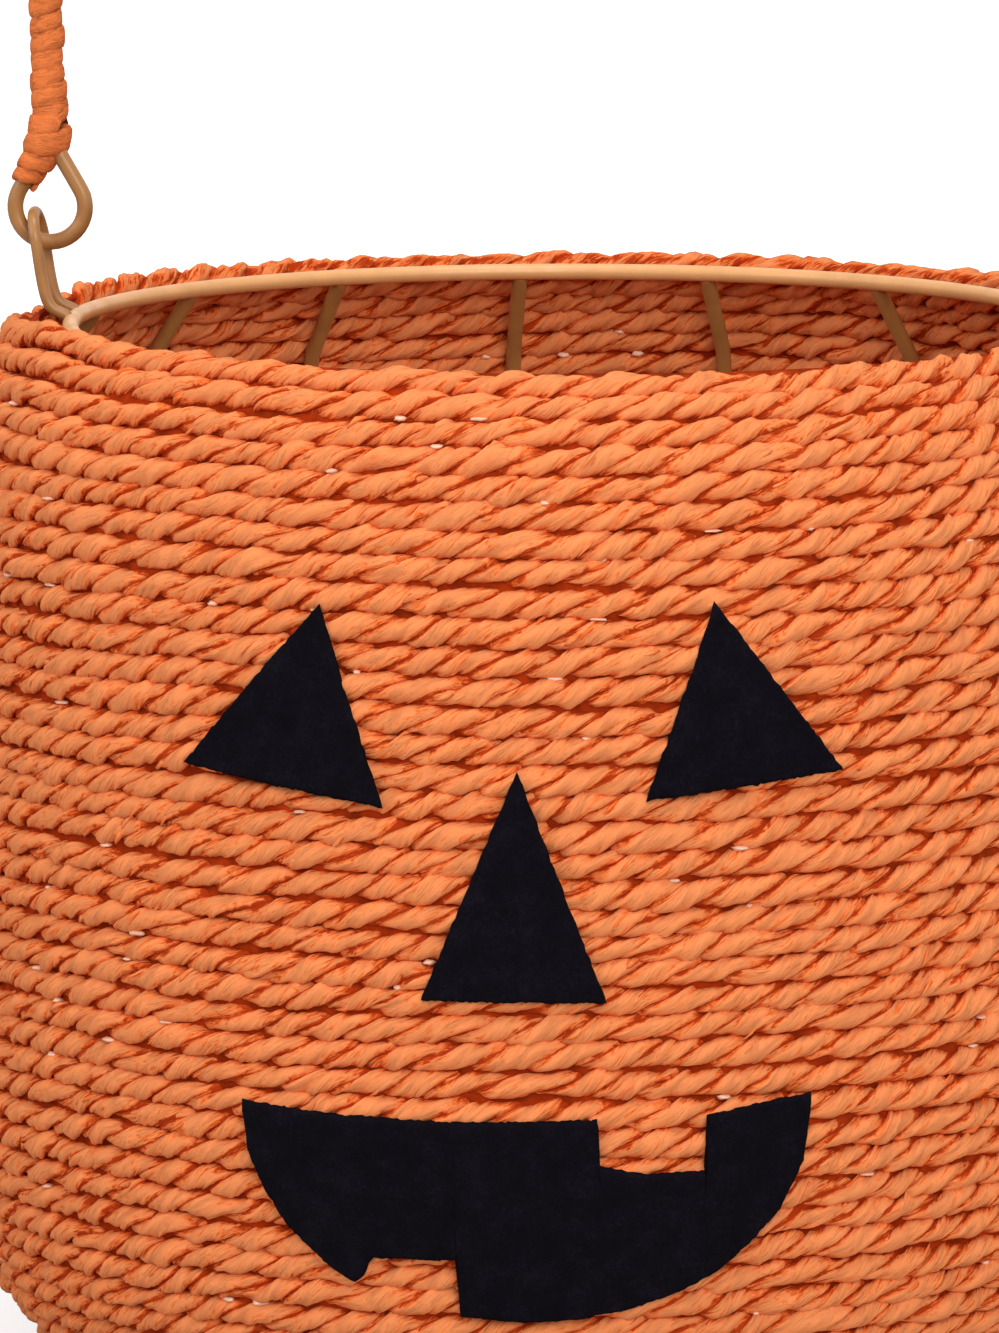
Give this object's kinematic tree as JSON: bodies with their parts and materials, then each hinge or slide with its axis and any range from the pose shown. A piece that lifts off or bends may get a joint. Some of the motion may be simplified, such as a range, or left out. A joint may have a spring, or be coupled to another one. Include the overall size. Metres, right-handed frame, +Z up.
{
  "type": "jack-o-lantern rope basket",
  "caption": "Round treat basket of orange paper rope wound on a wire frame, with black felt eyes, nose and mouth and a wrapped wire handle that swings.",
  "frame": {"origin": "centre of the basket's base, on the surface it stands on", "axes": "+Z up the centre line to the mouth and the handle's top, -Y out through the felt face, +X to the face's right as it is looked at"},
  "size_m": [0.2314, 0.2369, 0.3588],
  "materials": {
    "paper_rope": "bright orange twisted crinkled paper, matte",
    "paper_twine": "orange twisted paper twine wound tightly, matte",
    "painted_wire": "tan gold paint, satin",
    "felt": "black craft felt"
  },
  "bodies": {
    "basket": {"rope_base": "paper_rope", "rope_wall_lower": "paper_rope", "rope_wall_upper": "paper_rope", "top_ring": "painted_wire", "base_ring": "painted_wire", "base_wire_lower": "painted_wire", "base_wire_upper": "painted_wire", "rib_01": "painted_wire", "rib_02": "painted_wire", "rib_03": "painted_wire", "rib_04": "painted_wire", "rib_05": "painted_wire", "rib_06": "painted_wire", "rib_07": "painted_wire", "rib_08": "painted_wire", "rib_09": "painted_wire", "rib_10": "painted_wire", "rib_11": "painted_wire", "rib_12": "painted_wire", "rib_13": "painted_wire", "rib_14": "painted_wire", "rib_15": "painted_wire", "rib_16": "painted_wire", "ear_left": "painted_wire", "ear_right": "painted_wire", "felt_left_eye": "felt", "felt_right_eye": "felt", "felt_nose": "felt", "felt_mouth": "felt"},
    "handle": {"handle_wire": "painted_wire", "handle_wrap": "paper_twine"}
  },
  "joints": [
    {"name": "handle_swing", "type": "hinge", "parent": "basket", "child": "handle", "pos_m": [0, 0, 0.2056], "axis": [1, 0, 0], "range_deg": [-104, 104]}
  ]
}
